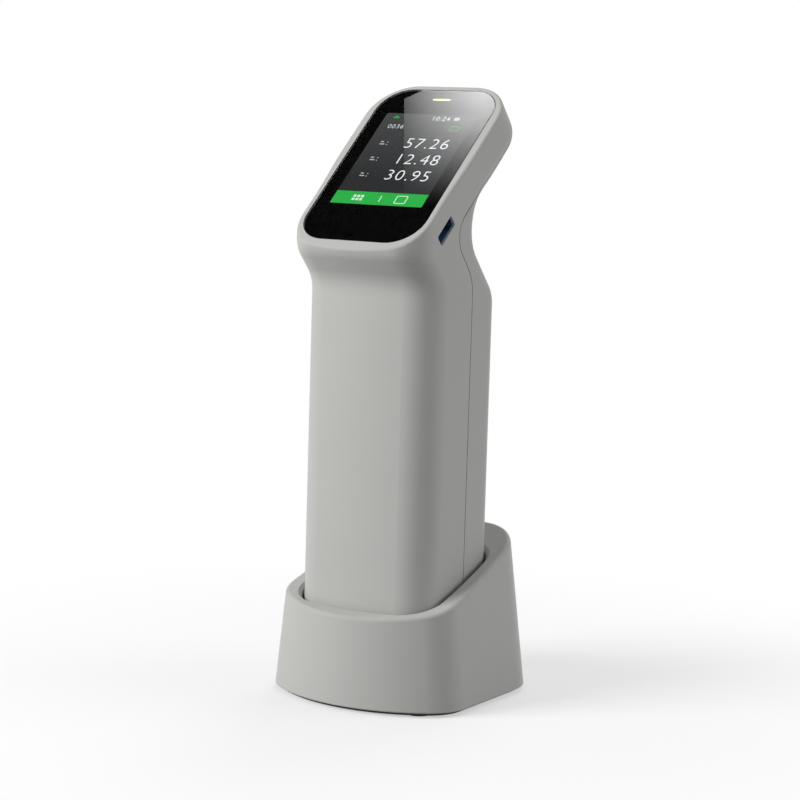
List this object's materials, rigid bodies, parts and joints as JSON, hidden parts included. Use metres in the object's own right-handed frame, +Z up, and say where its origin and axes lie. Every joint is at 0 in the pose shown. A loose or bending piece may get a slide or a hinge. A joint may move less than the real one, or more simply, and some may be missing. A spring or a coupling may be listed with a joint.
{
  "type": "portable colorimeter",
  "caption": "Handheld colour meter with a slanted touch screen on its leaning head, standing in a tapered dock with a slanted rim.",
  "frame": {"origin": "on the table under the middle of the object", "axes": "+X to the right of a person who faces the screen, +Y from the screen side to the back, +Z up"},
  "size_m": [0.0874, 0.0908, 0.2461],
  "materials": {
    "shell_plastic": "fine satin texture",
    "cover_glass": "polished",
    "black_print": "gloss black print",
    "display": "dark grey, lit",
    "light_lens": "yellow-green, lit",
    "socket_steel": "pressed sheet",
    "blue_plastic": "moulded",
    "circuit_board": "solder mask",
    "black_plastic": "moulded",
    "optical_glass": "polished",
    "grey_rubber": "matte",
    "white_reflector": "diffuse white",
    "led_body": "clear resin",
    "black_aluminium": "black anodised",
    "battery_wrap": "shrink wrap",
    "dark_plastic": "moulded",
    "button_plastic": "moulded",
    "gold_contact": "gold plated",
    "screw_steel": "zinc plated",
    "tile_ceramic": "white glaze"
  },
  "bodies": {
    "dock": {"dock_shell": "shell_plastic", "dock_base_plate": "dark_plastic", "foot_front_left": "grey_rubber", "foot_front_right": "grey_rubber", "foot_rear_left": "grey_rubber", "foot_rear_right": "grey_rubber", "calibration_tile": "tile_ceramic", "tile_holder": "dark_plastic", "tile_cushion": "grey_rubber", "pin_housing": "black_plastic", "dock_board": "circuit_board", "dock_power_inlet": "socket_steel", "dock_screws": "screw_steel"},
    "handset": {"aperture_ring": "black_plastic", "battery_cradle": "dark_plastic", "battery_pack": "battery_wrap", "board_screws": "screw_steel", "bottom_cap": "shell_plastic", "button_board": "circuit_board", "button_switch": "black_plastic", "buzzer": "black_plastic", "case_screws": "screw_steel", "charge_pads": "gold_contact", "collimating_lens": "optical_glass", "cover_glass": "cover_glass", "detector_board": "circuit_board", "dust_window": "optical_glass", "front_shell": "shell_plastic", "glass_print": "black_print", "grating": "optical_glass", "indicator_lens": "light_lens", "lamp_board": "circuit_board", "lamp_leds": "led_body", "lcd_module": "display", "lens_barrel": "black_aluminium", "main_board": "circuit_board", "port_board": "circuit_board", "rear_cover": "shell_plastic", "spectrometer_housing": "black_plastic", "spectrometer_lid": "black_plastic", "sphere_gasket": "grey_rubber", "sphere_lower": "white_reflector", "sphere_screws": "screw_steel", "sphere_upper": "white_reflector", "usb_port": "socket_steel", "usb_tongue": "blue_plastic"},
    "button": {"measure_button": "button_plastic"},
    "left_pin": {"charge_pin_left": "gold_contact"},
    "right_pin": {"charge_pin_right": "gold_contact"}
  },
  "joints": [
    {"name": "handset_lift", "type": "slide", "parent": "dock", "child": "handset", "axis": [0, 0, 1], "range_m": [0, 0.06]},
    {"name": "measure_press", "type": "slide", "parent": "handset", "child": "button", "axis": [0, -1, 0], "range_m": [0, 0.0008], "stiffness_N_per_m": 1500, "springref_m": -0.0008},
    {"name": "left_pin_press", "type": "slide", "parent": "dock", "child": "left_pin", "axis": [0, 0, -1], "range_m": [0, 0.0012], "stiffness_N_per_m": 400, "springref_m": -0.001},
    {"name": "right_pin_press", "type": "slide", "parent": "dock", "child": "right_pin", "axis": [0, 0, -1], "range_m": [0, 0.0012], "stiffness_N_per_m": 400, "springref_m": -0.001}
  ]
}
